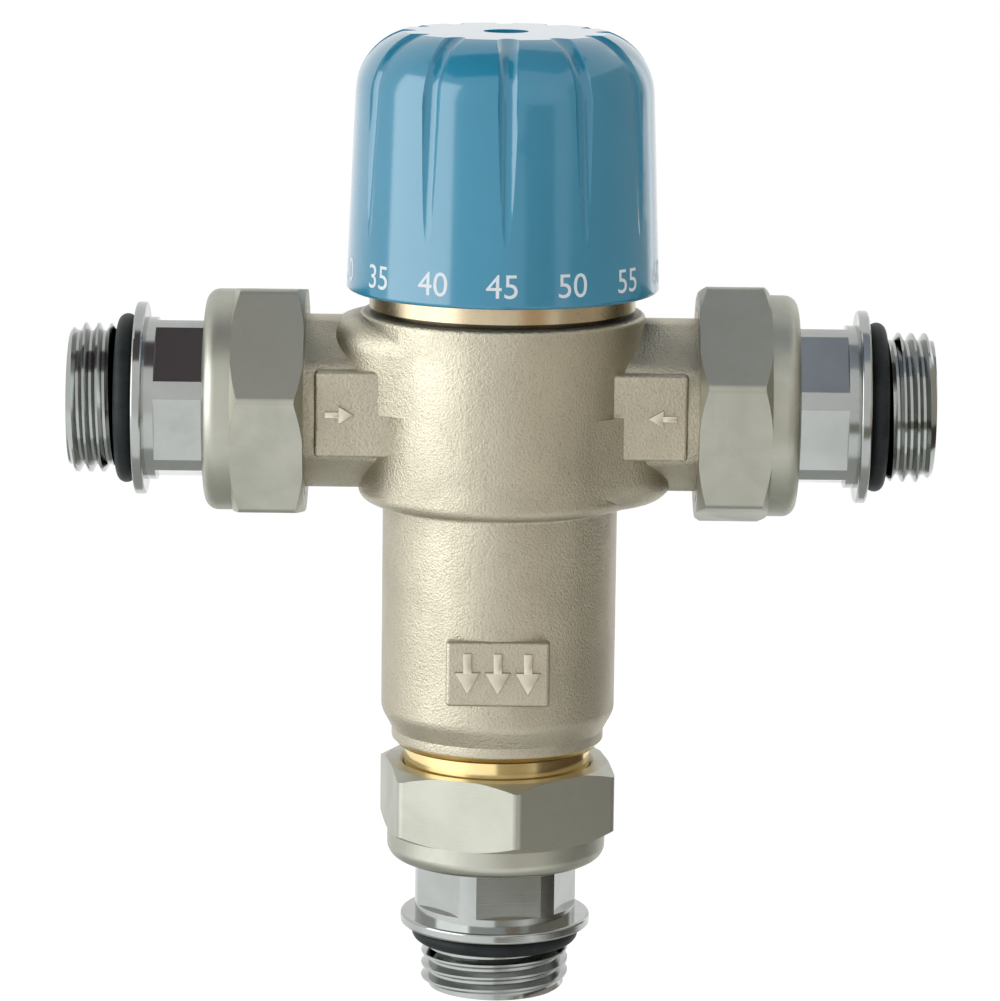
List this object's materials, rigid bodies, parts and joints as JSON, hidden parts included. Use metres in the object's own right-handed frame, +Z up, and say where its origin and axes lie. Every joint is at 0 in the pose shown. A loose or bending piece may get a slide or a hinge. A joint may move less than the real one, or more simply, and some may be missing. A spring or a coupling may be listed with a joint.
{
  "type": "thermostatic mixing valve",
  "caption": "Tee-shaped mixing valve: plated cast body, blue setting knob on top, hot and cold inlets at the sides and a mixed outlet below, each with a union nut and a threaded tail.",
  "frame": {"origin": "centre of the end face of the mixed outlet's thread", "axes": "+Z up along the valve's axis from the outlet to the knob; cold inlet towards -X, hot inlet towards +X; marked front towards -Y"},
  "size_m": [0.1206, 0.0436, 0.1362],
  "materials": {
    "plated_casting": "satin nickel plate over a fine cast grain",
    "machined_rim": "turned, lightly plated",
    "plated_nut": "satin nickel plate, turned and milled",
    "polished_nickel": "bright nickel plate",
    "bare_brass": "turned brass",
    "seal_rubber": "smooth black rubber",
    "gasket_fibre": "pressed fibre",
    "spring_steel": "bright stainless",
    "inner_plastic": "plain moulded",
    "knob_plastic": "glossy moulded blue"
  },
  "bodies": {
    "casting": {"valve_body": "plated_casting", "bonnet": "machined_rim", "bonnet_seal": "seal_rubber", "shuttle_seal": "seal_rubber", "return_spring": "spring_steel", "union_nut_cold": "plated_nut", "tailpiece_cold": "polished_nickel", "union_gasket_cold": "gasket_fibre", "backing_washer_cold": "polished_nickel", "thread_seal_cold": "seal_rubber", "union_nut_hot": "plated_nut", "tailpiece_hot": "polished_nickel", "union_gasket_hot": "gasket_fibre", "backing_washer_hot": "polished_nickel", "thread_seal_hot": "seal_rubber", "union_nut_mixed": "plated_nut", "tailpiece_mixed": "polished_nickel", "union_gasket_mixed": "gasket_fibre", "backing_washer_mixed": "polished_nickel", "thread_seal_mixed": "seal_rubber", "strainer_cold": "spring_steel", "check_housing_cold": "inner_plastic", "check_spring_cold": "spring_steel", "strainer_hot": "spring_steel", "check_housing_hot": "inner_plastic", "check_spring_hot": "spring_steel"},
    "knob": {"control_knob": "knob_plastic", "knob_screw": "spring_steel", "adjusting_spindle": "bare_brass", "spindle_seal": "seal_rubber", "spindle_clip": "spring_steel"},
    "plunger": {"setting_plunger": "bare_brass", "overtravel_spring": "spring_steel", "overtravel_clip": "spring_steel"},
    "cup": {"overtravel_cup": "spring_steel", "push_rod": "spring_steel"},
    "shuttle": {"mixing_shuttle": "inner_plastic", "wax_element": "bare_brass"},
    "cold_poppet": {"check_poppet_cold": "inner_plastic"},
    "hot_poppet": {"check_poppet_hot": "inner_plastic"}
  },
  "joints": [
    {"name": "knob_turn", "type": "hinge", "parent": "casting", "child": "knob", "pos_m": [0, 0, 0.1142], "axis": [0, 0, 1], "range_deg": [-135, 135]},
    {"name": "plunger_rise", "type": "slide", "parent": "casting", "child": "plunger", "axis": [0, 0, 1], "range_m": [-0.00151, 0.00151]},
    {"name": "overtravel_give", "type": "slide", "parent": "plunger", "child": "cup", "axis": [0, 0, 1], "range_m": [0, 0.002], "stiffness_N_per_m": 2000, "springref_m": -0.002, "deforming": ["overtravel_spring"]},
    {"name": "shuttle_slide", "type": "slide", "parent": "casting", "child": "shuttle", "axis": [0, 0, 1], "range_m": [-0.0015, 0.0015], "stiffness_N_per_m": 800, "springref_m": 0.0005, "deforming": ["return_spring"]},
    {"name": "cold_check_lift", "type": "slide", "parent": "casting", "child": "cold_poppet", "axis": [1, 0, 0], "range_m": [0, 0.0025], "stiffness_N_per_m": 40, "springref_m": -0.002, "deforming": ["check_spring_cold"]},
    {"name": "hot_check_lift", "type": "slide", "parent": "casting", "child": "hot_poppet", "axis": [-1, 0, 0], "range_m": [0, 0.0025], "stiffness_N_per_m": 40, "springref_m": -0.002, "deforming": ["check_spring_hot"]}
  ],
  "couplings": [
    {"joint": "plunger_rise", "follows": "knob_turn", "m_per_rad": 0.00063662}
  ]
}
